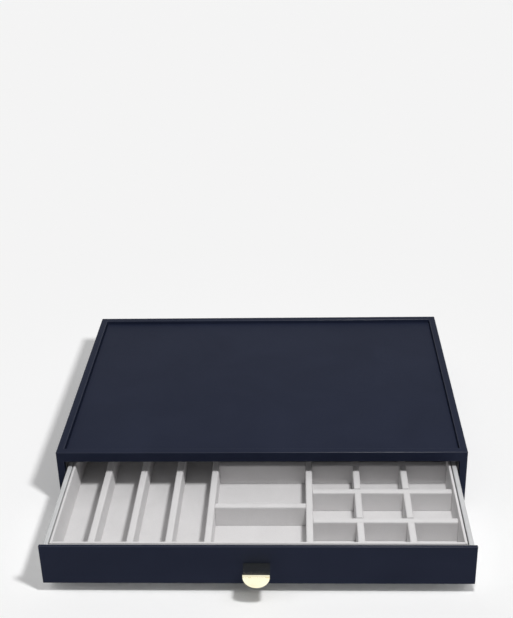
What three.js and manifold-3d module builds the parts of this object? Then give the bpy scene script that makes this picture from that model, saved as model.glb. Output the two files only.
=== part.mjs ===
// Stackable jewellery drawer, drawn as it stands on a dressing table with its drawer part open.
// A low case of leatherette-wrapped boards has a recessed top, so that another case can stand in its
// rim. One drawer slides in it on two felt strips. The drawer holds a suede-lined tray with long bays
// on the left, wide bays in the middle and a grid of small cells on the right, and a bent brass pull
// on its front. Millimetres, +Z up. The origin is the middle of the underside, the front faces -Y.

import * as THREE from 'three';
import { RoundedBoxGeometry } from 'three/addons/geometries/RoundedBoxGeometry.js';
import { mergeVertices } from 'three/addons/utils/BufferGeometryUtils.js';
import Module from 'manifold-3d';

// The case
const caseWidth = 360;
const caseDepth = 258;
const caseHeight = 58;
const wallThickness = 6.5;
const topThickness = 6.8;
const bottomThickness = 5.75;
const rimHeight = 3.2;
const stackingSideGap = 1;
const stackingHeightGap = 0.2;
const plinthCornerRadius = 4;
const wrapRadius = 1.2;
const wrapSegments = 2;

// What the drawer runs on and stops against
const glideWidth = 10;
const glideThickness = 0.8;
const glideSetback = 6;
const glideGap = 0.2;
const bumperRadius = 5;
const bumperThickness = 3;
const bumperGap = 0.5;
const bumperFromSide = 60;

// The drawer's front and box
const openTravel = 114.2;
const frontThickness = 3;
const frontSideGap = 1.2;
const frontTopGap = 0.7;
const frontBottomGap = 1.5;
const frontEdgeRadius = 0.8;
const boxSideGap = 2.3;
const boxTopGap = 6.25;
const boxSideWall = 4;
const boxEndWall = 7.4;
const boxBottomThickness = 2.4;
const boxEdgeRadius = 1;

// The tray that lies in the box
const trayGap = 0.9;
const trayWall = 2.2;
const trayBaseThickness = 2.6;
const trayEdgeRadius = 0.9;

// The tray's dividers
const dividerThickness = 6;
const dividerBelowWalls = 7.5;
const dividerEdgeRadius = 1.4;
const cellDepth = 34.3;
const frontRows = 3;
const rearRows = 3;
const gridColumns = 3;
const longBayCount = 4;
const longSectionWidth = 120.5;
const wideBayWidth = 76.8;
const frontWideBays = 2;
const rearWideBays = 2;
const slotGap = 0.3;

// The pull, one strip of brass bent twice: a back flange, a level tongue and a half-round flap
const pullWidth = 21.2;
const pullHeight = 11.8;
const pullProjection = 16.4;
const pullFootAboveFront = 9.95;
const pullFlangeHeight = 9.5;
const sheetThickness = 1;
const bendInsideRadius = 0.4;
const studRadius = 1.25;
const studSpacing = 10;
const studFromPullTop = 5.2;
const studGap = 0.3;
const studEndGap = 0.3;
const nutSides = 6;
const nutRadius = 2.9;
const nutThickness = 1.8;
const nutPocketGap = 0.3;

// How finely round things are drawn, and how far a cutting shape runs past what it cuts
const roundSides = 24;
const edgeSteps = 3;
const overrun = 1;

// Planes of the case. The plinth is a little lower than the rim that it drops into.
const plinthHeight = rimHeight - stackingHeightGap;
const caseRight = caseWidth / 2;
const caseFront = -caseDepth / 2;
const caseBack = caseDepth / 2;
const openingRight = caseRight - wallThickness;
const railBack = caseFront + wallThickness;
const backPanelFace = caseBack - wallThickness;
const openingFloor = plinthHeight + bottomThickness;
const recessFloor = caseHeight - rimHeight;
const openingTop = recessFloor - topThickness;

// Planes of the drawer, measured back from its front face
const frontRight = openingRight - frontSideGap;
const frontFoot = openingFloor + frontBottomGap;
const frontTop = openingTop - frontTopGap;
const boxRight = openingRight - boxSideGap;
const boxFoot = openingFloor + glideThickness + glideGap;
const boxTop = openingTop - boxTopGap;
const boxInnerRight = boxRight - boxSideWall;
const boxInnerFront = frontThickness + boxEndWall;
const drawerLength = caseDepth - wallThickness - bumperThickness - bumperGap;
const boxInnerBack = drawerLength - boxEndWall;
const boxFloor = boxFoot + boxBottomThickness;
const studEnd = boxInnerFront - studEndGap;
const nutSeat = studEnd - nutThickness;

// Planes of the tray
const trayRight = boxInnerRight - trayGap;
const trayFront = boxInnerFront + trayGap;
const trayBack = boxInnerBack - trayGap;
const trayInnerRight = trayRight - trayWall;
const trayInnerFront = trayFront + trayWall;
const trayInnerBack = trayBack - trayWall;
const trayFloor = boxFloor + trayBaseThickness;
const dividerTop = boxTop - dividerBelowWalls;
const dividerHeight = dividerTop - trayFloor;
const frontPartDepth = frontRows * (cellDepth + dividerThickness) - dividerThickness;
const middleBoardFront = trayInnerFront + frontPartDepth;
const rearPartFront = middleBoardFront + dividerThickness;
const rearPartDepth = trayInnerBack - rearPartFront;
const longSectionRight = longSectionWidth - trayInnerRight;
const wideBayLeft = longSectionRight + dividerThickness;
const wideBayRight = wideBayLeft + wideBayWidth;
const gridLeft = wideBayRight + dividerThickness;
const gridWidth = trayInnerRight - gridLeft;

// Materials
const navyLeatherette = { color: 0x252b3b, roughness: 0.62, metalness: 0 };
const greySuede = { color: 0xcfccca, roughness: 0.95, metalness: 0 };
const greyFelt = { color: 0x6f7078, roughness: 1, metalness: 0 };
const polishedBrass = { color: 0xd9b878, roughness: 0.22, metalness: 1 };
const platedSteel = { color: 0xb9bbbf, roughness: 0.35, metalness: 1 };

const wasm = await Module();
wasm.setup();

// A closed three.js geometry as a solid that can be cut and joined.
function toSolid(geometry) {
  const bare = geometry.clone();
  bare.deleteAttribute('normal');
  bare.deleteAttribute('uv');
  const merged = mergeVertices(bare);
  return new wasm.Manifold(new wasm.Mesh({
    numProp: 3,
    vertProperties: new Float32Array(merged.attributes.position.array),
    triVerts: new Uint32Array(merged.index.array),
  }));
}

function toGeometry(solid) {
  const mesh = solid.getMesh();
  const geometry = new THREE.BufferGeometry();
  geometry.setAttribute('position', new THREE.BufferAttribute(mesh.vertProperties, 3));
  geometry.setIndex(new THREE.BufferAttribute(mesh.triVerts, 1));
  geometry.computeVertexNormals();
  return geometry;
}

function cutAway(geometry, cutters) {
  let solid = toSolid(geometry);
  for (const cutter of cutters) {
    solid = solid.subtract(toSolid(cutter));
  }
  return toGeometry(solid);
}

// A named piece of one material, added to the group it belongs to.
function addPiece(group, name, geometry, material, position = [0, 0, 0]) {
  const piece = new THREE.Mesh(geometry, new THREE.MeshStandardMaterial(material));
  piece.name = name;
  piece.position.set(...position);
  group.add(piece);
  return piece;
}

// The size and the middle of the space between two opposite corners.
function measure(low, high) {
  const size = high.map((value, axis) => value - low[axis]);
  const middle = high.map((value, axis) => (value + low[axis]) / 2);
  return { size, middle };
}

function boxBetween(low, high) {
  const { size, middle } = measure(low, high);
  return new THREE.BoxGeometry(...size).translate(...middle);
}

// A board with square edges.
function addPlainBoard(group, name, material, low, high) {
  const { size, middle } = measure(low, high);
  addPiece(group, name, new THREE.BoxGeometry(...size), material, middle);
}

// The section of a wrapped board that stands on its edge: square below, with both upper edges rounded.
function softTopSection(thickness, height, radius) {
  const side = thickness / 2;
  const section = new THREE.Shape();
  section.moveTo(-side, 0);
  section.lineTo(side, 0);
  section.lineTo(side, height - radius);
  section.absarc(side - radius, height - radius, radius, 0, Math.PI / 2, false);
  section.lineTo(radius - side, height);
  section.absarc(radius - side, height - radius, radius, Math.PI / 2, Math.PI, false);
  section.closePath();
  return section;
}

// A standing wrapped board, drawn about the middle of its lower face. Runs along Y, or along X.
function softBoard(size, radius, alongX) {
  const [width, depth, height] = size;
  const length = alongX ? width : depth;
  const thickness = alongX ? depth : width;
  const section = softTopSection(thickness, height, radius);
  const settings = { depth: length, bevelEnabled: false, curveSegments: edgeSteps };
  const board = new THREE.ExtrudeGeometry(section, settings);
  board.translate(0, 0, -length / 2);
  board.rotateX(Math.PI / 2);
  if (alongX) {
    board.rotateZ(Math.PI / 2);
  }
  return board;
}

// A standing board with soft upper edges between two corners. The cutters are drawn about the middle
// of its lower face, as the board is.
function addSoftBoard(group, name, material, low, high, radius, alongX, cutters = []) {
  const { size, middle } = measure(low, high);
  const board = softBoard(size, radius, alongX);
  const geometry = cutters.length > 0 ? cutAway(board, cutters) : board;
  addPiece(group, name, geometry, material, [middle[0], middle[1], low[2]]);
}

// A round bar along Y, from one depth to another, at a height and a distance from the middle.
function barAlongY(radius, from, to, x, z, sides = roundSides) {
  const bar = new THREE.CylinderGeometry(radius, radius, to - from, sides);
  return bar.translate(x, (from + to) / 2, z);
}

// The case: four walls, a rail, a recessed top and a bottom, all cut from one soft-edged block, so
// that the wrap's round outer edge runs on from board to board.
function buildCase() {
  const shell = new THREE.Group();
  const wrapHeight = caseHeight - plinthHeight;
  const wrap = new RoundedBoxGeometry(caseWidth, caseDepth, wrapHeight, wrapSegments, wrapRadius);
  const wrapSolid = toSolid(wrap.translate(0, 0, plinthHeight + wrapHeight / 2));

  function addWrapped(name, low, high) {
    const board = wrapSolid.intersect(toSolid(boxBetween(low, high)));
    addPiece(shell, name, toGeometry(board), navyLeatherette);
  }

  addWrapped('case_left_side', [-caseRight, caseFront, plinthHeight],
    [-openingRight, caseBack, caseHeight]);
  addWrapped('case_right_side', [openingRight, caseFront, plinthHeight],
    [caseRight, caseBack, caseHeight]);
  addWrapped('case_back', [-openingRight, backPanelFace, plinthHeight],
    [openingRight, caseBack, caseHeight]);
  addWrapped('case_front_rail', [-openingRight, caseFront, openingTop],
    [openingRight, railBack, caseHeight]);
  addWrapped('case_bottom', [-openingRight, caseFront, plinthHeight],
    [openingRight, backPanelFace, openingFloor]);
  addPlainBoard(shell, 'case_top', navyLeatherette, [-openingRight, railBack, openingTop],
    [openingRight, backPanelFace, recessFloor]);
  return shell;
}

// The board under the case that drops into the rim of a case below.
function addPlinth(shell) {
  const right = openingRight - stackingSideGap;
  const back = backPanelFace - stackingSideGap;
  const straightX = right - plinthCornerRadius;
  const straightY = back - plinthCornerRadius;
  const outline = new THREE.Shape();
  outline.absarc(straightX, straightY, plinthCornerRadius, 0, Math.PI / 2, false);
  outline.absarc(-straightX, straightY, plinthCornerRadius, Math.PI / 2, Math.PI, false);
  outline.absarc(-straightX, -straightY, plinthCornerRadius, Math.PI, -Math.PI / 2, false);
  outline.absarc(straightX, -straightY, plinthCornerRadius, -Math.PI / 2, 0, false);
  outline.closePath();
  const settings = { depth: plinthHeight, bevelEnabled: false, curveSegments: edgeSteps };
  addPiece(shell, 'base_plinth', new THREE.ExtrudeGeometry(outline, settings), greyFelt);
}

// Two felt strips under the drawer's side walls, and two felt pads where the drawer stops.
function addRunners(shell) {
  const front = caseFront + glideSetback;
  const back = backPanelFace - glideSetback;
  const top = openingFloor + glideThickness;
  const inner = boxRight - glideWidth;
  addPlainBoard(shell, 'glide_strip_left', greyFelt, [-boxRight, front, openingFloor], [-inner, back, top]);
  addPlainBoard(shell, 'glide_strip_right', greyFelt, [inner, front, openingFloor], [boxRight, back, top]);

  const bumperFrom = backPanelFace - bumperThickness;
  const bumperX = boxRight - bumperFromSide;
  const bumperZ = (boxFoot + boxTop) / 2;
  for (const [name, side] of [['bumper_left', -1], ['bumper_right', 1]]) {
    const pad = barAlongY(bumperRadius, bumperFrom, backPanelFace, 0, 0);
    addPiece(shell, name, pad, greyFelt, [side * bumperX, 0, bumperZ]);
  }
}

// The places of the pull's two studs across the drawer's front, and their height.
const studPlaces = [-studSpacing / 2, studSpacing / 2];
const pullFoot = frontFoot + pullFootAboveFront;
const pullTop = pullFoot + pullHeight;
const studHeight = pullTop - studFromPullTop;

// The drawer's wrapped front, bored for the pull's studs.
function addDrawerFront(drawer) {
  const low = [-frontRight, 0, frontFoot];
  const high = [frontRight, frontThickness, frontTop];
  const { size, middle } = measure(low, high);
  const panel = new RoundedBoxGeometry(...size, wrapSegments, frontEdgeRadius);
  const bores = studPlaces.map((x) => barAlongY(studRadius + studGap, -frontThickness, frontThickness,
    x, studHeight - middle[2]));
  addPiece(drawer, 'drawer_front', cutAway(panel, bores), navyLeatherette, middle);
}

// The four walls and the bottom of the drawer's box.
function addBox(drawer) {
  const frontMiddle = (frontThickness + boxInnerFront) / 2;
  const bores = studPlaces.map((x) => barAlongY(studRadius + studGap, -boxEndWall, boxEndWall,
    x, studHeight - boxFoot));
  const pockets = studPlaces.map((x) => barAlongY(nutRadius + nutPocketGap, nutSeat - frontMiddle,
    boxEndWall, x, studHeight - boxFoot));
  addSoftBoard(drawer, 'drawer_front_wall', greySuede, [-boxInnerRight, frontThickness, boxFoot],
    [boxInnerRight, boxInnerFront, boxTop], boxEdgeRadius, true, [...bores, ...pockets]);
  addSoftBoard(drawer, 'drawer_left_wall', greySuede, [-boxRight, frontThickness, boxFoot],
    [-boxInnerRight, drawerLength, boxTop], boxEdgeRadius, false);
  addSoftBoard(drawer, 'drawer_right_wall', greySuede, [boxInnerRight, frontThickness, boxFoot],
    [boxRight, drawerLength, boxTop], boxEdgeRadius, false);
  addSoftBoard(drawer, 'drawer_back_wall', greySuede, [-boxInnerRight, boxInnerBack, boxFoot],
    [boxInnerRight, drawerLength, boxTop], boxEdgeRadius, true);
  addPlainBoard(drawer, 'drawer_bottom', greySuede, [-boxInnerRight, boxInnerFront, boxFoot],
    [boxInnerRight, boxInnerBack, boxFloor]);
}

// The tray's lined base and the four lined walls that stand on it.
function addTray(drawer) {
  addPlainBoard(drawer, 'tray_base', greySuede, [-trayRight, trayFront, boxFloor],
    [trayRight, trayBack, trayFloor]);
  addSoftBoard(drawer, 'tray_left_wall', greySuede, [-trayRight, trayFront, trayFloor],
    [-trayInnerRight, trayBack, boxTop], trayEdgeRadius, false);
  addSoftBoard(drawer, 'tray_right_wall', greySuede, [trayInnerRight, trayFront, trayFloor],
    [trayRight, trayBack, boxTop], trayEdgeRadius, false);
  addSoftBoard(drawer, 'tray_front_wall', greySuede, [-trayInnerRight, trayFront, trayFloor],
    [trayInnerRight, trayInnerFront, boxTop], trayEdgeRadius, true);
  addSoftBoard(drawer, 'tray_back_wall', greySuede, [-trayInnerRight, trayInnerBack, trayFloor],
    [trayInnerRight, trayBack, boxTop], trayEdgeRadius, true);
}

// A divider that runs the tray's whole depth, with its left face at x.
function addLongDivider(drawer, name, x, cutters = []) {
  addSoftBoard(drawer, name, greySuede, [x, trayInnerFront, trayFloor],
    [x + dividerThickness, trayInnerBack, dividerTop], dividerEdgeRadius, false, cutters);
}

// A divider that runs from side to side between two faces, with its front face at a depth.
function addCrossDivider(drawer, name, left, right, depth, cutters = []) {
  addSoftBoard(drawer, name, greySuede, [left, depth, trayFloor],
    [right, depth + dividerThickness, dividerTop], dividerEdgeRadius, true, cutters);
}

// The first faces of evenly spaced dividers that part a length into bays.
function dividerPlaces(from, length, bays) {
  const bay = (length - (bays - 1) * dividerThickness) / bays;
  return Array.from({ length: bays - 1 }, (_, index) => from + bay + index * (bay + dividerThickness));
}

// The depths of the boards across one section: evenly spaced in front of the middle board and
// behind it.
function crossPlaces(frontBays, rearBays) {
  return [
    ...dividerPlaces(trayInnerFront, frontPartDepth, frontBays),
    middleBoardFront,
    ...dividerPlaces(rearPartFront, rearPartDepth, rearBays),
  ];
}

// The boards on either side of the wide bays, the long bays' dividers, and the boards that part the
// wide bays.
function addBayDividers(drawer) {
  addLongDivider(drawer, 'section_divider_left', longSectionRight);
  addLongDivider(drawer, 'section_divider_right', wideBayRight);
  const longPlaces = dividerPlaces(-trayInnerRight, longSectionWidth, longBayCount);
  longPlaces.forEach((x, index) => addLongDivider(drawer, `long_bay_divider_${index + 1}`, x));
  const widePlaces = crossPlaces(frontWideBays, rearWideBays);
  widePlaces.forEach((depth, index) => addCrossDivider(drawer, `wide_bay_cross_${index + 1}`,
    wideBayLeft, wideBayRight, depth));
}

// The grid's boards. They are halved into each other: a slot from above in each board that runs
// front to back, and one from below in each board that runs across, whose top stays whole.
function addGrid(drawer) {
  const columnPlaces = dividerPlaces(gridLeft, gridWidth, gridColumns);
  const rowPlaces = crossPlaces(frontRows, rearRows);
  const slot = dividerThickness / 2 + slotGap;
  const halfHeight = dividerHeight / 2;
  const half = dividerThickness / 2;

  const trayMiddle = (trayInnerFront + trayInnerBack) / 2;
  const slotsFromAbove = rowPlaces.map((depth) => {
    const middle = depth + half - trayMiddle;
    return boxBetween([-dividerThickness, middle - slot, halfHeight - slotGap / 2],
      [dividerThickness, middle + slot, dividerHeight + overrun]);
  });
  columnPlaces.forEach((x, index) => (
    addLongDivider(drawer, `grid_divider_${index + 1}`, x, slotsFromAbove)));

  const gridMiddle = gridLeft + gridWidth / 2;
  const slotsFromBelow = columnPlaces.map((x) => {
    const middle = x + half - gridMiddle;
    return boxBetween([middle - slot, -dividerThickness, -overrun],
      [middle + slot, dividerThickness, halfHeight + slotGap / 2]);
  });
  rowPlaces.forEach((depth, index) => addCrossDivider(drawer, `grid_cross_${index + 1}`, gridLeft,
    trayInnerRight, depth, slotsFromBelow));
}

// The pull's side view, forwards to the right: up along the flange, out along the tongue's top and
// down the flap, then back along the inner faces.
function pullSideView() {
  const outside = bendInsideRadius + sheetThickness;
  const flangeFoot = pullHeight - pullFlangeHeight;
  const bendHeight = pullHeight - outside;
  const frontBend = pullProjection - outside;
  const view = new THREE.Shape();
  view.moveTo(0, flangeFoot);
  view.lineTo(0, bendHeight);
  view.absarc(outside, bendHeight, outside, Math.PI, Math.PI / 2, true);
  view.lineTo(frontBend, pullHeight);
  view.absarc(frontBend, bendHeight, outside, Math.PI / 2, 0, true);
  view.lineTo(pullProjection, 0);
  view.lineTo(pullProjection - sheetThickness, 0);
  view.lineTo(pullProjection - sheetThickness, bendHeight);
  view.absarc(frontBend, bendHeight, bendInsideRadius, 0, Math.PI / 2, false);
  view.lineTo(outside, pullHeight - sheetThickness);
  view.absarc(outside, bendHeight, bendInsideRadius, Math.PI / 2, Math.PI, false);
  view.lineTo(sheetThickness, flangeFoot);
  view.closePath();
  return view;
}

// The pull's outline from the front: straight sides that run into a half-round foot.
function pullFrontView() {
  const side = pullWidth / 2;
  const view = new THREE.Shape();
  view.moveTo(-side, pullHeight + overrun);
  view.lineTo(-side, side);
  view.absarc(0, side, side, Math.PI, Math.PI * 2, false);
  view.lineTo(side, pullHeight + overrun);
  view.closePath();
  return view;
}

// The brass pull with its two studs, and the thin nuts that hold it from inside.
function addPull(drawer) {
  const bentSettings = { depth: pullWidth, bevelEnabled: false, curveSegments: edgeSteps };
  const bent = new THREE.ExtrudeGeometry(pullSideView(), bentSettings);
  bent.translate(0, 0, -pullWidth / 2);
  bent.rotateX(Math.PI / 2);
  bent.rotateZ(-Math.PI / 2);

  const outlineDepth = pullProjection + 2 * overrun;
  const outlineSettings = { depth: outlineDepth, bevelEnabled: false, curveSegments: roundSides / 2 };
  const outline = new THREE.ExtrudeGeometry(pullFrontView(), outlineSettings);
  outline.translate(0, 0, -overrun);
  outline.rotateX(Math.PI / 2);
  const studZ = studHeight - pullFoot;
  let pull = toSolid(bent).intersect(toSolid(outline));
  for (const x of studPlaces) {
    pull = pull.add(toSolid(barAlongY(studRadius, -sheetThickness / 2, studEnd, x, studZ)));
  }
  addPiece(drawer, 'pull_tab', toGeometry(pull), polishedBrass, [0, 0, pullFoot]);

  ['pull_nut_left', 'pull_nut_right'].forEach((name, index) => {
    const blank = barAlongY(nutRadius, nutSeat, studEnd, 0, 0, nutSides);
    const bore = barAlongY(studRadius + studGap, nutSeat - overrun, studEnd + overrun, 0, 0);
    addPiece(drawer, name, cutAway(blank, [bore]), platedSteel, [studPlaces[index], 0, studHeight]);
  });
}

// The drawer, drawn with its front face at zero and slid out from flush by its travel.
function buildDrawer() {
  const drawer = new THREE.Group();
  addDrawerFront(drawer);
  addBox(drawer);
  addTray(drawer);
  addBayDividers(drawer);
  addGrid(drawer);
  addPull(drawer);
  drawer.position.set(0, caseFront - openTravel, 0);
  return drawer;
}

const jewelleryDrawer = new THREE.Group();
const shell = buildCase();
addPlinth(shell);
addRunners(shell);
jewelleryDrawer.add(shell, buildDrawer());

export default jewelleryDrawer;
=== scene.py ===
import math

import bmesh
import bpy
import numpy as np
from mathutils import Matrix, Vector


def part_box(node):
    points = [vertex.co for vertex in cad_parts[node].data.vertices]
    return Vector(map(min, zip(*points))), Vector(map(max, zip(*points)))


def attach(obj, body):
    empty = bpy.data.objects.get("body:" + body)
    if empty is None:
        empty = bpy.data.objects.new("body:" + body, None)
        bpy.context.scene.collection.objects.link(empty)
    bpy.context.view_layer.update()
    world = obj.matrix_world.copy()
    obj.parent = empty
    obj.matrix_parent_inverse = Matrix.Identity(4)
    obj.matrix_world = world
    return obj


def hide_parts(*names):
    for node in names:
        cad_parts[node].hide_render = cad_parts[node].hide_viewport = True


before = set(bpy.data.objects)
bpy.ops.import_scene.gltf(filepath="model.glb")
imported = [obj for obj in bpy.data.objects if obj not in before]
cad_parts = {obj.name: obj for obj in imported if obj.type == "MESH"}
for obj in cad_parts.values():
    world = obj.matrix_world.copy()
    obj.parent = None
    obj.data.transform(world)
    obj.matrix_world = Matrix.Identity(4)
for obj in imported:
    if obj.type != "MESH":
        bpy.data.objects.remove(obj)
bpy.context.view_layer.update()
print("frame: loaded", len(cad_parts), "pieces")

mm = 0.001
quarterTurn = math.pi / 2


# Mesh helpers

meshing = {
    "weld": 0.0005 * mm,  # points closer than this become one
    "leastRadius": 0.001 * mm, "roundSteps": 5, "sharpAngle": math.radians(35), "normalWeight": 80,
}


def quadGrid(rows, columns, wrap):
    # Quad (i, j) joins points (i, j), (i, j+1), (i+1, j+1) and (i+1, j). Where the grid is wrapped, its last
    # column joins the first.
    i = np.arange(rows - 1)[:, None]
    j = np.arange(columns if wrap else columns - 1)[None, :]
    here = i * columns + j
    beside = i * columns + (j + 1) % columns
    return np.stack([here, beside, beside + columns, here + columns], axis=-1).reshape(-1, 4)


def meshPiece(name, points, faces):
    mesh = bpy.data.meshes.new(name)
    mesh.from_pydata(points.reshape(-1, 3).tolist(), [], faces)
    work = bmesh.new()
    work.from_mesh(mesh)
    bmesh.ops.remove_doubles(work, verts=work.verts, dist=meshing["weld"])
    if work.calc_volume(signed=True) < 0:
        bmesh.ops.reverse_faces(work, faces=work.faces)
    work.to_mesh(mesh)
    work.free()
    mesh.polygons.foreach_set("use_smooth", np.ones(len(mesh.polygons), bool))
    piece = bpy.data.objects.new(name, mesh)
    bpy.context.scene.collection.objects.link(piece)
    return piece


def evenNormals(piece):
    # Large faces shade flat and the rounded edges carry the turn between them.
    finish = piece.modifiers.new("evenNormals", "WEIGHTED_NORMAL")
    finish.mode = "FACE_AREA"
    finish.weight = meshing["normalWeight"]
    finish.keep_sharp = True


def softenEdges(piece, width, steps, angle):
    # Every edge at which the faces turn by more than the angle is rounded.
    soften = piece.modifiers.new("soften", "BEVEL")
    soften.width = width
    soften.segments = steps
    soften.limit_method = "ANGLE"
    soften.angle_limit = angle


def settle(piece):
    # The piece's modifiers become its mesh.
    graph = bpy.context.evaluated_depsgraph_get()
    mesh = bpy.data.meshes.new_from_object(piece.evaluated_get(graph))
    piece.modifiers.clear()
    piece.data = mesh
    mesh.set_sharp_from_angle(angle=meshing["sharpAngle"])


def markEdges(piece):
    # The attribute edge is (1 - n) / (1 - sqrt(1/2)), where n is the largest part of a face's normal. So it
    # is 0 where the normal lies along an axis, and 1 where it stands at 45 degrees to two.
    settle(piece)
    mesh = piece.data
    normal = np.zeros(len(mesh.polygons) * 3)
    mesh.polygons.foreach_get("normal", normal)
    tilt = (1 - np.abs(normal.reshape(-1, 3)).max(axis=1)) / (1 - math.sqrt(0.5))
    mesh.attributes.new("edge", "FLOAT", "FACE").data.foreach_set("value", np.clip(tilt, 0, 1))


def roundedRing(halfWide, halfHigh, radii):
    # Corner k of a rectangle is the arc centre + r * (cos a, sin a), a from 90 * (k - 1) to 90 * k degrees.
    # The half sizes hold one value for each ring and the radii one for each corner of each ring. The result
    # is rings x points x 2.
    signX = np.array([1, 1, -1, -1])
    signY = np.array([-1, 1, 1, -1])
    arc = np.linspace(0, quarterTurn, meshing["roundSteps"] + 1)
    angle = (np.arange(4)[:, None] - 1) * quarterTurn + arc[None, :]
    r = radii[..., None]
    x = (signX[:, None] * (halfWide[:, None, None] - r)) + r * np.cos(angle)
    y = (signY[:, None] * (halfHigh[:, None, None] - r)) + r * np.sin(angle)
    return np.stack([x, y], axis=-1).reshape(len(halfWide), -1, 2)


unevenness = {  # of a padded board's upper edge, along its length
    "pitch": 8 * mm, "slowRate": 61, "quickRate": 143, "quickShare": 0.6, "shiftX": 400, "shiftY": 300,
}


def softBlock(name, low, high, axis, cornerRadii, endRadii, sag=0.0):
    # Rounded rectangles stacked along one axis. At a distance p < r from an end the ring is drawn in by
    # r - sqrt(r^2 - (r - p)^2), and its corner radii shrink as much. Sag lowers the top by up to its amount,
    # after the sum of a slow and a quick sine, shifted by the board's place so that the boards differ.
    low, high = np.array(low), np.array(high)
    arc = np.linspace(0, quarterTurn, meshing["roundSteps"] + 1)
    startAt, startIn = endRadii[0] * (1 - np.cos(arc)), endRadii[0] * (1 - np.sin(arc))
    stopAt, stopIn = endRadii[1] * (1 - np.cos(arc)), endRadii[1] * (1 - np.sin(arc))
    length = high[axis] - low[axis]
    middleCount = max(2, int(length / unevenness["pitch"])) if sag else 2
    middle = np.linspace(endRadii[0], length - endRadii[1], middleCount + 1)[1:-1]
    at = np.concatenate([startAt, middle, length - stopAt[::-1]])
    drawnIn = np.concatenate([startIn, np.zeros(len(middle)), stopIn[::-1]])
    across, up = [k for k in range(3) if k != axis]
    radii = np.maximum(np.array(cornerRadii)[None, :] - drawnIn[:, None], meshing["leastRadius"])
    halfWide = (high[across] - low[across]) / 2 - drawnIn
    halfHigh = (high[up] - low[up]) / 2 - drawnIn
    ring = roundedRing(halfWide, halfHigh, radii)
    points = np.zeros((len(at), ring.shape[1], 3))
    points[..., axis] = low[axis] + at[:, None]
    points[..., across] = (low[across] + high[across]) / 2 + ring[..., 0]
    points[..., up] = (low[up] + high[up]) / 2 + ring[..., 1]
    if sag:
        slow = np.sin(points[..., axis] * unevenness["slowRate"] + low[0] * unevenness["shiftX"])
        quick = np.sin(points[..., axis] * unevenness["quickRate"] + low[1] * unevenness["shiftY"])
        share = unevenness["quickShare"]
        drop = sag * (0.5 + (slow + share * quick) / (2 * (1 + share)))
        points[..., up] -= drop * (points[..., up] > (low[up] + high[up]) / 2)
    count = ring.shape[1]
    faces = quadGrid(len(at), count, True).tolist()
    faces.append(list(range(count))[::-1])
    faces.append(list(range((len(at) - 1) * count, len(at) * count)))
    return meshPiece(name, points, faces)


def cellSolid(name, planes, filled):
    # The planes cut space into cells. A face stands wherever a filled cell meets an empty one.
    size = [len(p) for p in planes]
    padded = np.pad(filled, 1)
    faces = []
    for axis in range(3):
        other = [k for k in range(3) if k != axis]
        full = np.moveaxis(padded, axis, 0)[:, 1:-1, 1:-1].astype(int)
        change = full[:-1] - full[1:]
        for sign in (1, -1):
            i, j, k = np.nonzero(change == sign)
            corners = []
            for stepJ, stepK in ((0, 0), (1, 0), (1, 1), (0, 1)):
                index = np.zeros((3, len(i)), int)
                index[axis], index[other[0]], index[other[1]] = i, j + stepJ, k + stepK
                corners.append((index[0] * size[1] + index[1]) * size[2] + index[2])
            quads = np.stack(corners, axis=-1)
            turned = (sign == 1) == (axis == 1)
            faces.append(quads[:, ::-1] if turned else quads)
    faces = np.concatenate(faces)
    lattice = np.stack(np.meshgrid(*planes, indexing="ij"), axis=-1).reshape(-1, 3)
    used, renumbered = np.unique(faces, return_inverse=True)
    return meshPiece(name, lattice[used], renumbered.reshape(-1, 4).tolist())


def lathe(name, centre, axis, profile, sides=48):
    # Each (radius, height) pair becomes the ring centre + radius * (cos a, sin a) + height * axis.
    radius, height = np.array(profile).T
    a = np.linspace(0, 2 * math.pi, sides, endpoint=False)
    across, up = [k for k in range(3) if k != axis]
    points = np.zeros((len(radius), sides, 3))
    points[..., axis] = centre[axis] + height[:, None]
    points[..., across] = centre[across] + radius[:, None] * np.cos(a)
    points[..., up] = centre[up] + radius[:, None] * np.sin(a)
    faces = quadGrid(len(radius), sides, True).tolist()
    faces.append(list(range(sides))[::-1])
    faces.append(list(range((len(radius) - 1) * sides, len(radius) * sides)))
    return meshPiece(name, points, faces)


def plainBlock(low, high):
    # The eight corners take each axis from one of the two ends.
    return cellSolid("cutter", [np.array([low[k], high[k]]) for k in range(3)], np.ones((1, 1, 1), bool))


def bar(place, radius, start, stop):
    # A round bar along Y through a place, from one depth to another.
    return lathe("cutter", (place[0], 0, place[1]), 1, [(radius, start), (radius, stop)], sides=32)


def combine(piece, others, operation="DIFFERENCE"):
    for other in others:
        step = piece.modifiers.new("step", "BOOLEAN")
        step.operation = operation
        step.solver = "EXACT"
        step.object = other
    settle(piece)
    for other in others:
        bpy.data.objects.remove(other)


# Material helpers

def addNode(tree, kind, sockets=None, **settings):
    made = tree.nodes.new(kind)
    for name, value in settings.items():
        setattr(made, name, value)
    for name, value in (sockets or {}).items():
        if isinstance(value, bpy.types.NodeSocket):
            tree.links.new(value, made.inputs[name])
        else:
            made.inputs[name].default_value = value
    return made


def combined(tree, operation, first, second):
    return addNode(tree, "ShaderNodeMath", {0: first, 1: second}, operation=operation).outputs[0]


def between(tree, mask, low, high, fromLow=0.3, fromHigh=0.7, curve="LINEAR"):
    # A mask spread from one value to another. Noise mostly lies between 0.3 and 0.7.
    sockets = {"Value": mask, "From Min": fromLow, "From Max": fromHigh, "To Min": low, "To Max": high}
    return addNode(tree, "ShaderNodeMapRange", sockets, interpolation_type=curve).outputs[0]


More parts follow.
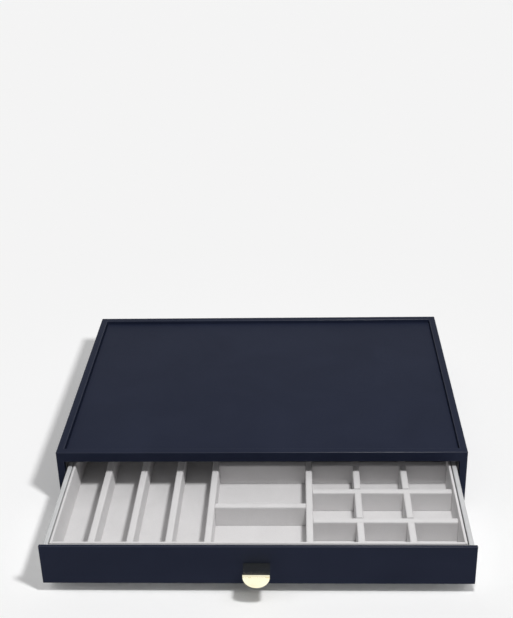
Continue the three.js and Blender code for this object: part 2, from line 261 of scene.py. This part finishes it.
def newGroup(name, inputs, outputs):
    # Inputs are given with their usual values. All sockets are plain numbers.
    tree = bpy.data.node_groups.new(name, "ShaderNodeTree")
    for socket, value in inputs.items():
        made = tree.interface.new_socket(socket, in_out="INPUT", socket_type="NodeSocketFloat")
        made.default_value = value
    for socket in outputs:
        tree.interface.new_socket(socket, in_out="OUTPUT", socket_type="NodeSocketFloat")
    return tree, tree.nodes.new("NodeGroupInput").outputs, tree.nodes.new("NodeGroupOutput").inputs


pebbles = {
    "scale": 900.0, "loosen": 0.4, "detail": 2.0, "smoothness": 0.6, "cellDetail": 1.0,
    "crown": 0.15, "crease": 0.75,  # distances from a cell's middle
}


def buildGrain():
    # Fine pebbles: a smooth cell pattern, loosened by noise. Height is 0 in the creases and 1 on top.
    inputs = {"Scale": pebbles["scale"], "Loosen": pebbles["loosen"]}
    tree, given, result = newGroup("pebbleGrain", inputs, ("Height", "Mask"))
    place = addNode(tree, "ShaderNodeTexCoord").outputs["Object"]
    wander = addNode(tree, "ShaderNodeTexNoise",
                     {"Vector": place, "Scale": given["Scale"], "Detail": pebbles["detail"]})
    cells = addNode(tree, "ShaderNodeTexVoronoi",
                    {"Vector": place, "Scale": given["Scale"], "Smoothness": pebbles["smoothness"],
                     "Detail": pebbles["cellDetail"]}, feature="SMOOTH_F1")
    domes = between(tree, cells.outputs["Distance"], 1.0, 0.0, pebbles["crown"], pebbles["crease"])
    mixed = addNode(tree, "ShaderNodeMix", {0: given["Loosen"], 2: domes, 3: wander.outputs["Fac"]})
    tree.links.new(mixed.outputs[0], result["Height"])
    tree.links.new(wander.outputs["Fac"], result["Mask"])
    return tree


fibreNoise = {"scale": 1400.0, "drawnOut": (1.0, 0.55, 0.8), "detail": 4.0, "roughness": 0.65}
brushNoise = {"scale": 30.0, "detail": 3.0, "roughness": 0.55, "distortion": 0.8}


def buildNap():
    # Short fibres: fine noise, drawn out one way, over a coarse one where the nap has been brushed about.
    inputs = {"Scale": fibreNoise["scale"], "Patches": brushNoise["scale"]}
    tree, given, result = newGroup("shortNap", inputs, ("Height", "Fibres", "Brushed"))
    place = addNode(tree, "ShaderNodeTexCoord").outputs["Object"]
    drawn = addNode(tree, "ShaderNodeMapping", {"Vector": place, "Scale": fibreNoise["drawnOut"]})
    fibres = addNode(tree, "ShaderNodeTexNoise",
                     {"Vector": drawn.outputs[0], "Scale": given["Scale"], "Detail": fibreNoise["detail"],
                      "Roughness": fibreNoise["roughness"]})
    patches = addNode(tree, "ShaderNodeTexNoise",
                      {"Vector": place, "Scale": given["Patches"], "Detail": brushNoise["detail"],
                       "Roughness": brushNoise["roughness"], "Distortion": brushNoise["distortion"]})
    tree.links.new(combined(tree, "ADD", fibres.outputs["Fac"], patches.outputs["Fac"]), result["Height"])
    tree.links.new(fibres.outputs["Fac"], result["Fibres"])
    tree.links.new(patches.outputs["Fac"], result["Brushed"])
    return tree


polish = {
    "scale": 600.0, "drawnOut": (0.04, 1.0, 1.0), "detail": 3.0, "cloudScale": 90.0, "cloudDetail": 2.0,
}


def buildHairlines():
    # Polishing marks: noise drawn far out across the sheet, and a slow cloudiness.
    tree, given, result = newGroup("hairlines", {"Scale": polish["scale"]}, ("Lines", "Cloud"))
    place = addNode(tree, "ShaderNodeTexCoord").outputs["Object"]
    drawn = addNode(tree, "ShaderNodeMapping", {"Vector": place, "Scale": polish["drawnOut"]})
    lines = addNode(tree, "ShaderNodeTexNoise",
                    {"Vector": drawn.outputs[0], "Scale": given["Scale"], "Detail": polish["detail"]})
    cloud = addNode(tree, "ShaderNodeTexNoise",
                    {"Vector": place, "Scale": polish["cloudScale"], "Detail": polish["cloudDetail"]})
    tree.links.new(lines.outputs["Fac"], result["Lines"])
    tree.links.new(cloud.outputs["Fac"], result["Cloud"])
    return tree


groups = {"grain": buildGrain(), "nap": buildNap(), "hairlines": buildHairlines()}


def newMaterial(name, sockets):
    material = bpy.data.materials.new(name)
    material.use_nodes = True
    tree = material.node_tree
    tree.nodes.clear()
    shader = addNode(tree, "ShaderNodeBsdfPrincipled", sockets)
    output = addNode(tree, "ShaderNodeOutputMaterial")
    tree.links.new(shader.outputs[0], output.inputs[0])
    return material, tree, shader


def useGroup(tree, name, **values):
    placed = addNode(tree, "ShaderNodeGroup", node_tree=groups[name])
    for socket, value in values.items():
        placed.inputs[socket].default_value = value
    return placed.outputs


def tint(tree, shader, mask, dark, light):
    # The colour runs from the dark to the light shade with the mask.
    mixed = addNode(tree, "ShaderNodeMix", {0: mask, 6: (*dark, 1.0), 7: (*light, 1.0)}, data_type="RGBA")
    tree.links.new(mixed.outputs[2], shader.inputs["Base Color"])


def emboss(tree, shader, height, strength, depth):
    bump = addNode(tree, "ShaderNodeBump", {"Height": height, "Strength": strength, "Distance": depth})
    tree.links.new(bump.outputs[0], shader.inputs["Normal"])


leatherette = {
    "dark": (0.0113, 0.0148, 0.0305), "light": (0.0138, 0.0178, 0.0355),
    "roughLow": 0.44, "roughHigh": 0.54, "specular": 0.05,
    "grainScale": 1100.0, "grainDepth": 0.05 * mm, "grainStrength": 0.35, "patchScale": 14.0,
    "edgePolish": 0.7, "polishRough": 0.3,  # rubbed edges shine a little
}


def makeLeatherette():
    fixed = {"Specular IOR Level": leatherette["specular"], "Coat Roughness": leatherette["polishRough"]}
    material, tree, shader = newMaterial("navyLeatherette", fixed)
    grain = useGroup(tree, "grain", Scale=leatherette["grainScale"])
    nap = useGroup(tree, "nap", Patches=leatherette["patchScale"])
    tint(tree, shader, between(tree, nap["Brushed"], 0.0, 1.0), leatherette["dark"], leatherette["light"])
    rough = between(tree, grain["Mask"], leatherette["roughLow"], leatherette["roughHigh"])
    tree.links.new(rough, shader.inputs["Roughness"])
    emboss(tree, shader, grain["Height"], leatherette["grainStrength"], leatherette["grainDepth"])
    edge = addNode(tree, "ShaderNodeAttribute", attribute_name="edge").outputs["Fac"]
    rubbed = between(tree, edge, 0.0, leatherette["edgePolish"], 0.0, 1.0)
    tree.links.new(rubbed, shader.inputs["Coat Weight"])
    return material


suede = {
    "dark": (0.600, 0.590, 0.592), "light": (0.675, 0.665, 0.668),
    "rough": 0.95, "specular": 0.12, "sheen": 0.12, "sheenRough": 0.5,
    "fibreScale": 1500.0, "patchScale": 26.0, "depth": 0.12 * mm, "strength": 0.4,
    "maskFrom": 0.65, "maskTo": 1.35,  # of the two noises' sum
}


def makeSuede():
    fixed = {"Roughness": suede["rough"], "Specular IOR Level": suede["specular"],
             "Sheen Weight": suede["sheen"], "Sheen Roughness": suede["sheenRough"]}
    material, tree, shader = newMaterial("greySuede", fixed)
    nap = useGroup(tree, "nap", Scale=suede["fibreScale"], Patches=suede["patchScale"])
    both = combined(tree, "ADD", nap["Fibres"], nap["Brushed"])
    mask = between(tree, both, 0.0, 1.0, suede["maskFrom"], suede["maskTo"])
    tint(tree, shader, mask, suede["dark"], suede["light"])
    emboss(tree, shader, nap["Height"], suede["strength"], suede["depth"])
    return material


lining = {
    "greyLining": {"dark": (0.500, 0.505, 0.510), "light": (0.560, 0.565, 0.570)},
    "caseLining": {"dark": (0.30, 0.30, 0.31), "light": (0.36, 0.36, 0.37)},
    "rough": 0.85, "specular": 0.15,
    "fibreScale": 2200.0, "patchScale": 40.0, "depth": 0.05 * mm, "strength": 0.3,
}


def makeLining(name):
    fixed = {"Roughness": lining["rough"], "Specular IOR Level": lining["specular"]}
    material, tree, shader = newMaterial(name, fixed)
    nap = useGroup(tree, "nap", Scale=lining["fibreScale"], Patches=lining["patchScale"])
    shades = lining[name]
    tint(tree, shader, between(tree, nap["Brushed"], 0.0, 1.0), shades["dark"], shades["light"])
    emboss(tree, shader, nap["Height"], lining["strength"], lining["depth"])
    return material


felt = {
    "dark": (0.115, 0.12, 0.14), "light": (0.19, 0.195, 0.215),
    "rough": 1.0, "specular": 0.1, "sheen": 0.3,
    "fibreScale": 900.0, "patchScale": 60.0, "depth": 0.25 * mm, "strength": 0.7,
}


def makeFelt():
    fixed = {"Roughness": felt["rough"], "Specular IOR Level": felt["specular"],
             "Sheen Weight": felt["sheen"]}
    material, tree, shader = newMaterial("greyFelt", fixed)
    nap = useGroup(tree, "nap", Scale=felt["fibreScale"], Patches=felt["patchScale"])
    tint(tree, shader, between(tree, nap["Fibres"], 0.0, 1.0), felt["dark"], felt["light"])
    emboss(tree, shader, nap["Height"], felt["strength"], felt["depth"])
    return material


metals = {
    "paleBrass": {"dark": (0.95, 0.885, 0.63), "light": (1.0, 0.955, 0.73),
                  "roughLow": 0.11, "roughHigh": 0.18, "lineScale": 900.0},
    "platedSteel": {"dark": (0.50, 0.51, 0.53), "light": (0.62, 0.63, 0.65),
                    "roughLow": 0.3, "roughHigh": 0.45, "lineScale": 1200.0},
    "lineDepth": 0.01 * mm, "lineStrength": 0.12,
}


def makeMetal(name):
    metal = metals[name]
    material, tree, shader = newMaterial(name, {"Metallic": 1.0})
    marks = useGroup(tree, "hairlines", Scale=metal["lineScale"])
    tint(tree, shader, between(tree, marks["Cloud"], 0.0, 1.0), metal["dark"], metal["light"])
    rough = between(tree, marks["Lines"], metal["roughLow"], metal["roughHigh"])
    tree.links.new(rough, shader.inputs["Roughness"])
    emboss(tree, shader, marks["Lines"], metals["lineStrength"], metals["lineDepth"])
    return material


navyLeatherette = makeLeatherette()
greySuede = makeSuede()
greyLining = makeLining("greyLining")
caseLining = makeLining("caseLining")
greyFelt = makeFelt()
paleBrass = makeMetal("paleBrass")
platedSteel = makeMetal("platedSteel")
print("materials: made")


def dress(piece, body, slotName, material, *nodes):
    piece.data.materials.clear()
    piece.data.materials.append(material)
    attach(piece, body)
    if nodes:
        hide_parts(*nodes)


# The case: walls, rail and bottom in one wrap, and the top panel sunk into it

shell = {
    "edge": 0.9 * mm, "edgeSteps": 4, "edgeAngle": math.radians(40),
    "panelEdge": 1.3 * mm, "panelFoot": 0.1 * mm, "panelCorner": 1.6 * mm, "lining": 0.3 * mm,
}


def casePlanes():
    # The faces of the case's walls, as places along each axis.
    left, right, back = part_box("case_left_side"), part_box("case_right_side"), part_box("case_back")
    rail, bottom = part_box("case_front_rail"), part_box("case_bottom")
    x = [left[0].x, left[1].x, right[0].x, right[1].x]
    y = [left[0].y, rail[1].y, back[0].y, back[1].y]
    z = [bottom[0].z, bottom[1].z, rail[0].z, rail[1].z]
    return np.array(x), np.array(y), np.array(z)


def makeWrap():
    inWalls = np.ones((3, 3, 3), bool)
    inWalls[1, 0:2, 1] = False  # the drawer's space, open at the front
    inWalls[1, 1, 2] = False  # the recess and the panel's seat
    wrap = cellSolid("caseWrap", casePlanes(), inWalls)
    softenEdges(wrap, shell["edge"], shell["edgeSteps"], shell["edgeAngle"])
    markEdges(wrap)
    evenNormals(wrap)
    dress(wrap, "case", "navy_leatherette", navyLeatherette,
          "case_left_side", "case_right_side", "case_back", "case_front_rail", "case_bottom")


def makeTopPanel():
    low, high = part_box("case_top")
    ends = (shell["panelFoot"], shell["panelEdge"])
    panel = softBlock("topPanel", low, high, 2, [shell["panelCorner"]] * 4, ends)
    markEdges(panel)
    evenNormals(panel)
    dress(panel, "case", "navy_leatherette", navyLeatherette, "case_top")


def makeCaseLining():
    # A thin skin on the inner faces, open at the front, where it starts behind the rail.
    x, y, z = casePlanes()
    skin = shell["lining"]
    planes = [np.array([x[1], x[1] + skin, x[2] - skin, x[2]]),
              np.array([y[1], y[2] - skin, y[2]]),
              np.array([z[1], z[1] + skin, z[2] - skin, z[2]])]
    inSkin = np.ones((3, 2, 3), bool)
    inSkin[1, 0, 1] = False
    dress(cellSolid("caseLining", planes, inSkin), "case", "suede_board", caseLining)


makeWrap()
makeTopPanel()
makeCaseLining()

underside = {
    "plinthCorner": 4 * mm, "plinthEdge": 0.6 * mm, "plinthTop": 0.1 * mm,
    "stripEdge": 0.3 * mm, "stripFoot": 0.05 * mm, "bumperEdge": 0.8 * mm, "bumperSteps": 5,
}


def makePlinth():
    low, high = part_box("base_plinth")
    ends = (underside["plinthEdge"], underside["plinthTop"])
    plinth = softBlock("feltPlinth", low, high, 2, [underside["plinthCorner"]] * 4, ends)
    evenNormals(plinth)
    dress(plinth, "case", "grey_felt", greyFelt, "base_plinth")


def makeGlideStrip(side):
    low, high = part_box(f"glide_strip_{side}")
    edge, foot = underside["stripEdge"], underside["stripFoot"]
    strip = softBlock(f"glideStrip_{side}", low, high, 1, [foot, edge, edge, foot], (edge, edge))
    evenNormals(strip)
    dress(strip, "case", "grey_felt", greyFelt, f"glide_strip_{side}")


def makeBumper(side):
    # A round pad whose free edge is rounded by the bumper's edge.
    low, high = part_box(f"bumper_{side}")
    middle = (low + high) / 2
    radius, deep = (high.x - low.x) / 2, high.y - low.y
    soft = underside["bumperEdge"]
    arc = np.linspace(0, quarterTurn, underside["bumperSteps"] + 1)
    rounded = [(radius - soft + soft * math.cos(a), soft - soft * math.sin(a)) for a in arc]
    pad = lathe(f"bumperPad_{side}", (middle.x, low.y, middle.z), 1, [(radius, deep)] + rounded)
    evenNormals(pad)
    dress(pad, "case", "grey_felt", greyFelt, f"bumper_{side}")


makePlinth()
for side in ("left", "right"):
    makeGlideStrip(side)
    makeBumper(side)
print("case: made")

# The drawer

drawerFront = {"edge": 0.8 * mm, "boreRadius": 1.55 * mm, "pocketGap": 0.3 * mm, "overrun": 1 * mm}
boards = {
    "drawer": {"top": 1.0 * mm, "foot": 0.4 * mm, "end": 0.3 * mm, "sag": 0.0},
    "tray": {"top": 0.7 * mm, "foot": 0.4 * mm, "end": 0.4 * mm, "sag": 0.05 * mm},
    "divider": {"top": 1.4 * mm, "foot": 0.6 * mm, "end": 0.5 * mm, "sag": 0.12 * mm},
}
floors = {"corner": 0.3 * mm, "edge": 0.2 * mm}
grid = {"slotGap": 0.12 * mm, "overrun": 1 * mm}
pullNuts = ("pull_nut_left", "pull_nut_right")


def camelName(node):
    return "".join(part.capitalize() if i else part for i, part in enumerate(node.split("_")))


def standingBoard(node, kind):
    low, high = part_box(node)
    axis = 0 if high.x - low.x > high.y - low.y else 1
    shape = boards[kind]
    corners = [shape["foot"], shape["top"], shape["top"], shape["foot"]]
    ends = (shape["end"], shape["end"])
    return softBlock(camelName(node), low, high, axis, corners, ends, sag=shape["sag"])


def studBores():
    # The studs stand where the nuts are, so the bores and pockets follow the nuts' boxes.
    past = drawerFront["overrun"]
    front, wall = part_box("drawer_front"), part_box("drawer_front_wall")
    bore = drawerFront["boreRadius"]
    cutters = {"front": [], "wall": []}
    for node in pullNuts:
        low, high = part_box(node)
        place = ((low.x + high.x) / 2, (low.z + high.z) / 2)
        pocket = (high.z - low.z) / 2 + drawerFront["pocketGap"]
        cutters["front"].append(bar(place, bore, front[0].y - past, front[1].y + past))
        cutters["wall"].append(bar(place, bore, wall[0].y - past, wall[1].y + past))
        cutters["wall"].append(bar(place, pocket, low.y, wall[1].y + past))
    return cutters


def gridSlots(node):
    # The boards are halved into each other: from above where a board runs front to back, else from below.
    low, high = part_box(node)
    gap, past = grid["slotGap"], grid["overrun"]
    middle = (low.z + high.z) / 2
    across = "cross" in node
    cutters = []
    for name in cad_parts:
        if name.startswith("grid_divider" if across else "grid_cross"):
            otherLow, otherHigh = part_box(name)
            if across:
                start = (otherLow.x - gap, low.y - past, low.z - past)
                stop = (otherHigh.x + gap, high.y + past, middle + gap / 2)
            else:
                start = (low.x - past, otherLow.y - gap, middle - gap / 2)
                stop = (high.x + past, otherHigh.y + gap, high.z + past)
            cutters.append(plainBlock(start, stop))
    return cutters


def makeFront(bores):
    low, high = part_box("drawer_front")
    edge = drawerFront["edge"]
    panel = softBlock("wrappedFront", low, high, 1, [edge] * 4, (edge, edge))
    combine(panel, bores)
    markEdges(panel)
    evenNormals(panel)
    dress(panel, "drawer", "navy_leatherette", navyLeatherette, "drawer_front")


def makeBoards(bores):
    standing = {
        "drawer": ["drawer_front_wall", "drawer_left_wall", "drawer_right_wall", "drawer_back_wall"],
        "tray": ["tray_front_wall", "tray_left_wall", "tray_right_wall", "tray_back_wall"],
        "divider": sorted(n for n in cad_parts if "divider" in n or "cross" in n),
    }
    for kind, nodes in standing.items():
        for node in nodes:
            board = standingBoard(node, kind)
            if node == "drawer_front_wall":
                combine(board, bores)
            elif node.startswith("grid"):
                combine(board, gridSlots(node))
            evenNormals(board)
            dress(board, "drawer", "suede_board", greyLining if kind == "drawer" else greySuede, node)


def makeFloors():
    ends = (floors["edge"], floors["edge"])
    for node, finish in (("drawer_bottom", greyLining), ("tray_base", greySuede)):
        low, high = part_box(node)
        floor = softBlock(camelName(node), low, high, 2, [floors["corner"]] * 4, ends)
        evenNormals(floor)
        dress(floor, "drawer", "suede_board", finish, node)


bores = studBores()
makeFront(bores["front"])
makeBoards(bores["wall"])
makeFloors()
print("drawer: made")

# The pull: a back flange with two studs, a level tongue and a half-round flap, bent from one strip

pullShape = {
    "thickness": 1.0 * mm, "bend": 0.9 * mm, "flange": 9.5 * mm,
    "studRadius": 1.25 * mm, "studTip": 0.3 * mm,
    "edge": 0.25 * mm, "edgeSteps": 3, "edgeAngle": math.radians(50),
    "acrossSteps": 24, "bendSteps": 6, "roundSteps": 24,
}


def pullSheet(low, high, face):
    # Each row of points lies across the strip, at a (y, z) of its side view. Its half width is that of the
    # outline at z: the full one, and below the half circle's middle the circle's cosine.
    half, bend = pullShape["thickness"] / 2, pullShape["bend"]
    middle, side = (low.x + high.x) / 2, (high.x - low.x) / 2
    circleZ, bendZ = low.z + side, high.z - half - bend
    flangeFoot = math.asin((circleZ - high.z + pullShape["flange"]) / side)
    flange = np.linspace(flangeFoot, 0, pullShape["roundSteps"])
    turn = np.linspace(0, quarterTurn, pullShape["bendSteps"] + 1)
    flap = np.linspace(0, quarterTurn, pullShape["roundSteps"] + 1)
    y = np.concatenate([np.full(len(flange), face - half), face - half - bend + bend * np.cos(turn),
                        low.y + half + bend - bend * np.sin(turn), np.full(len(flap), low.y + half)])
    z = np.concatenate([circleZ - side * np.sin(flange), bendZ + bend * np.sin(turn),
                        bendZ + bend * np.cos(turn), circleZ - side * np.sin(flap)])
    w = np.concatenate([side * np.cos(flange), np.full(2 * len(turn), side), side * np.cos(flap)])
    u = np.linspace(-1, 1, pullShape["acrossSteps"] + 1)
    points = np.stack(np.broadcast_arrays(middle + w[:, None] * u, y[:, None], z[:, None]), axis=-1)
    return meshPiece("pullTab", points, quadGrid(len(y), len(u), False).tolist())


def pullStud(nut, start, stop):
    # A round bar on the nut's axis, with a cone for its tip.
    low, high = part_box(nut)
    place = ((low.x + high.x) / 2, 0, (low.z + high.z) / 2)
    radius, tip = pullShape["studRadius"], pullShape["studTip"]
    return lathe("stud", place, 1, [(radius, start), (radius, stop - tip), (radius - tip, stop)])


def makePull():
    low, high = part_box("pull_tab")
    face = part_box("drawer_front")[0].y
    tab = pullSheet(low, high, face)
    thick = tab.modifiers.new("thick", "SOLIDIFY")
    thick.thickness = pullShape["thickness"]
    thick.offset = 0.0
    settle(tab)
    inFlange = face - pullShape["thickness"] / 2
    # To be mended: in most runs this union loses the studs, which the front hides, and turns the faces inward.
    # The likely cause is one face of almost no area in the thickened sheet.
    combine(tab, [pullStud(nut, inFlange, high.y) for nut in pullNuts], "UNION")
    softenEdges(tab, pullShape["edge"], pullShape["edgeSteps"], pullShape["edgeAngle"])
    evenNormals(tab)
    dress(tab, "drawer", "pull_brass", paleBrass, "pull_tab")


def plateNuts():
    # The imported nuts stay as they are, with a metal of their own.
    for node in pullNuts:
        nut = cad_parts[node]
        nut.data.materials.clear()
        nut.data.materials.append(platedSteel)


plateNuts()
makePull()
print("pull: made")

# The table, the light and the camera

studio = {
    "tableSize": 14.0, "backdrop": 0.905,
    "tableSeen": 0.905, "tableMirrored": 1.08, "tableBounce": 1.15,
    "lampPlace": (0.155, -0.345, 0.581), "lampLevel": 0.70,  # a level is that of white which faces the lamp
    "tableLampPlace": (0.155, -0.435, 0.581), "tableLampLevel": 0.68,  # the table's own, nearer the viewer
    "lampRadius": 0.04,
    # The room's level turns from front to back with a direction's y, and to that above with its z.
    "roomFront": 0.12, "roomBack": 0.43, "roomTurnFrom": -0.8, "roomTurnTo": 0.6,
    "roomAbove": 0.56, "aboveFrom": 0.3, "aboveTo": 0.9,
    "lift": 0.88, "liftReach": 0.3, "liftFrom": 0.34, "liftTo": 0.54, "liftSamples": 8,
}


def smoothBetween(value, start, stop, low, high):
    # From low to high by 3t^2 - 2t^3, where t runs from 0 at the start to 1 at the stop.
    t = np.clip((value - start) / (stop - start), 0, 1)
    return low + (high - low) * t * t * (3 - 2 * t)


def roomFill(samples=400):
    # What the room alone gives an open level face: its level, averaged over the half sphere above by cosine.
    # The directions are (sqrt(1 - u) cos a, sqrt(1 - u) sin a, sqrt(u)), with u and a spread evenly.
    step = (np.arange(samples) + 0.5) / samples
    u, a = np.meshgrid(step, step * 2 * math.pi)
    y = np.sqrt(1 - u) * np.sin(a)
    z = np.sqrt(u)
    front, back, above = studio["roomFront"], studio["roomBack"], studio["roomAbove"]
    walls = smoothBetween(y, studio["roomTurnFrom"], studio["roomTurnTo"], front, back)
    return float(smoothBetween(z, studio["aboveFrom"], studio["aboveTo"], walls, above).mean())


def isSeen(tree):
    # 1 for rays that show a thing, straight, mirrored or through glass, and 0 for those that light by it.
    path = addNode(tree, "ShaderNodeLightPath").outputs
    shown = combined(tree, "MAXIMUM", path["Is Camera Ray"], path["Is Glossy Ray"])
    return combined(tree, "MAXIMUM", shown, path["Is Transmission Ray"])


def makeTableTop():
    material = bpy.data.materials.new("tableTop")
    material.use_nodes = True
    tree = material.node_tree
    tree.nodes.clear()
    # Seen straight or mirrored, the open table is one even white: its colour is that white over the light
    # that falls there, room plus lamp. The lamp gives level * height / distance. Shadows then show as they
    # are.
    lamp, fill = studio["tableLampPlace"], roomFill()
    place = addNode(tree, "ShaderNodeNewGeometry").outputs["Position"]
    away = addNode(tree, "ShaderNodeVectorMath", {0: place, 1: lamp}, operation="DISTANCE").outputs["Value"]
    fromLamp = combined(tree, "DIVIDE", studio["tableLampLevel"] * lamp[2], away)
    light = combined(tree, "ADD", fromLamp, fill)
    mirrored = addNode(tree, "ShaderNodeLightPath").outputs["Is Glossy Ray"]
    white = between(tree, mirrored, studio["tableSeen"], studio["tableMirrored"], 0.0, 1.0)
    even = combined(tree, "DIVIDE", white, light)
    # A pale floor under a wide light hardly darkens beside a low box, so most of the room's light that the
    # object hides is put back, but not where nearly all of it is hidden, as under the drawer.
    openness = addNode(tree, "ShaderNodeAmbientOcclusion", {"Distance": studio["liftReach"]},
                       samples=studio["liftSamples"]).outputs["AO"]
    beside = between(tree, openness, 0.0, 1.0, studio["liftFrom"], studio["liftTo"], "SMOOTHSTEP")
    hidden = between(tree, openness, fill * studio["lift"], 0.0, 0.0, 1.0)
    strength = combined(tree, "MULTIPLY", combined(tree, "MULTIPLY", hidden, beside), even)
    colour = addNode(tree, "ShaderNodeCombineColor", {0: even, 1: even, 2: even}).outputs[0]
    matt = addNode(tree, "ShaderNodeBsdfDiffuse", {"Color": colour}).outputs[0]
    glow = addNode(tree, "ShaderNodeEmission", {"Strength": strength}).outputs[0]
    shown = addNode(tree, "ShaderNodeAddShader", {0: matt, 1: glow}).outputs[0]
    lit = (studio["tableBounce"], studio["tableBounce"], studio["tableBounce"], 1.0)
    bounce = addNode(tree, "ShaderNodeBsdfDiffuse", {"Color": lit}).outputs[0]
    top = addNode(tree, "ShaderNodeMixShader", {0: isSeen(tree), 1: bounce, 2: shown}).outputs[0]
    below = addNode(tree, "ShaderNodeBsdfTransparent").outputs[0]
    facing = addNode(tree, "ShaderNodeNewGeometry").outputs["Backfacing"]
    mixed = addNode(tree, "ShaderNodeMixShader", {0: facing, 1: top, 2: below})
    output = addNode(tree, "ShaderNodeOutputMaterial")
    tree.links.new(mixed.outputs[0], output.inputs[0])
    return material


def makeTable():
    half = studio["tableSize"] / 2
    mesh = bpy.data.meshes.new("table")
    corners = [(-half, -half, 0), (half, -half, 0), (half, half, 0), (-half, half, 0)]
    mesh.from_pydata(corners, [], [(0, 1, 2, 3)])
    mesh.materials.append(makeTableTop())
    table = bpy.data.objects.new("table", mesh)
    bpy.context.scene.collection.objects.link(table)
    return table


def makeLamp(name, place, level, table, onTable):
    # It lights either the table alone or everything else. Its light doesn't fall off, as from a large even
    # source, and an energy of 4 pi^2 gives a level of 1.
    lamp = bpy.data.lights.new(name, "POINT")
    lamp.energy = level * 4 * math.pi ** 2
    lamp.shadow_soft_size = studio["lampRadius"]
    lamp.use_nodes = True
    tree = lamp.node_tree
    tree.nodes.clear()
    falloff = addNode(tree, "ShaderNodeLightFalloff", {"Strength": 1.0}).outputs["Constant"]
    glow = addNode(tree, "ShaderNodeEmission", {"Strength": falloff})
    output = addNode(tree, "ShaderNodeOutputLight")
    tree.links.new(glow.outputs[0], output.inputs[0])
    key = bpy.data.objects.new(name, lamp)
    key.location = place
    key.visible_camera = False
    bpy.context.scene.collection.objects.link(key)
    lit = bpy.data.collections.new(name)
    lit.objects.link(table)
    key.light_linking.receiver_collection = lit
    lit.collection_objects[0].light_linking.link_state = "INCLUDE" if onTable else "EXCLUDE"


def makeRoom():
    world = bpy.data.worlds.new("studio")
    world.use_nodes = True
    bpy.context.scene.world = world
    tree = world.node_tree
    tree.nodes.clear()
    direction = addNode(tree, "ShaderNodeTexCoord").outputs["Generated"]
    parts = addNode(tree, "ShaderNodeSeparateXYZ", {0: direction}).outputs
    walls = between(tree, parts["Y"], studio["roomFront"], studio["roomBack"],
                    studio["roomTurnFrom"], studio["roomTurnTo"], "SMOOTHSTEP")
    room = between(tree, parts["Z"], walls, studio["roomAbove"],
                   studio["aboveFrom"], studio["aboveTo"], "SMOOTHSTEP")
    level = addNode(tree, "ShaderNodeMix", {0: isSeen(tree), 2: room, 3: studio["backdrop"]}).outputs[0]
    background = addNode(tree, "ShaderNodeBackground", {"Color": (1, 1, 1, 1), "Strength": level})
    output = addNode(tree, "ShaderNodeOutputWorld")
    tree.links.new(background.outputs[0], output.inputs[0])


table = makeTable()
makeLamp("objectLamp", studio["lampPlace"], studio["lampLevel"], table, False)
makeLamp("tableLamp", studio["tableLampPlace"], studio["tableLampLevel"], table, True)
makeRoom()

view = {
    "place": (0.03554, -0.91328, 0.59137), "turned": -0.04504, "down": 0.46467, "rolled": -0.02745,
    "focalPixels": 1080.2, "imageHeight": 618, "sensorHeight": 36.0, "nearest": 0.01,
}


def makeCamera():
    turned, down, rolled = view["turned"], view["down"], view["rolled"]
    ahead = Vector((math.sin(turned) * math.cos(down), math.cos(turned) * math.cos(down), -math.sin(down)))
    level = Vector((math.cos(turned), -math.sin(turned), 0))
    upright = level.cross(ahead)
    right = level * math.cos(rolled) + upright * math.sin(rolled)
    up = upright * math.cos(rolled) - level * math.sin(rolled)
    lens = bpy.data.cameras.new("camera")
    lens.sensor_fit = "VERTICAL"
    lens.sensor_height = view["sensorHeight"]
    lens.sensor_width = view["sensorHeight"]
    lens.lens = view["focalPixels"] / view["imageHeight"] * view["sensorHeight"]
    lens.clip_start = view["nearest"]
    camera = bpy.data.objects.new("camera", lens)
    turn = Matrix((right, up, -ahead)).transposed()
    camera.matrix_world = Matrix.Translation(view["place"]) @ turn.to_4x4()
    bpy.context.scene.collection.objects.link(camera)
    bpy.context.scene.camera = camera


makeCamera()
bpy.context.scene.view_settings.view_transform = "Standard"
print("studio: made")
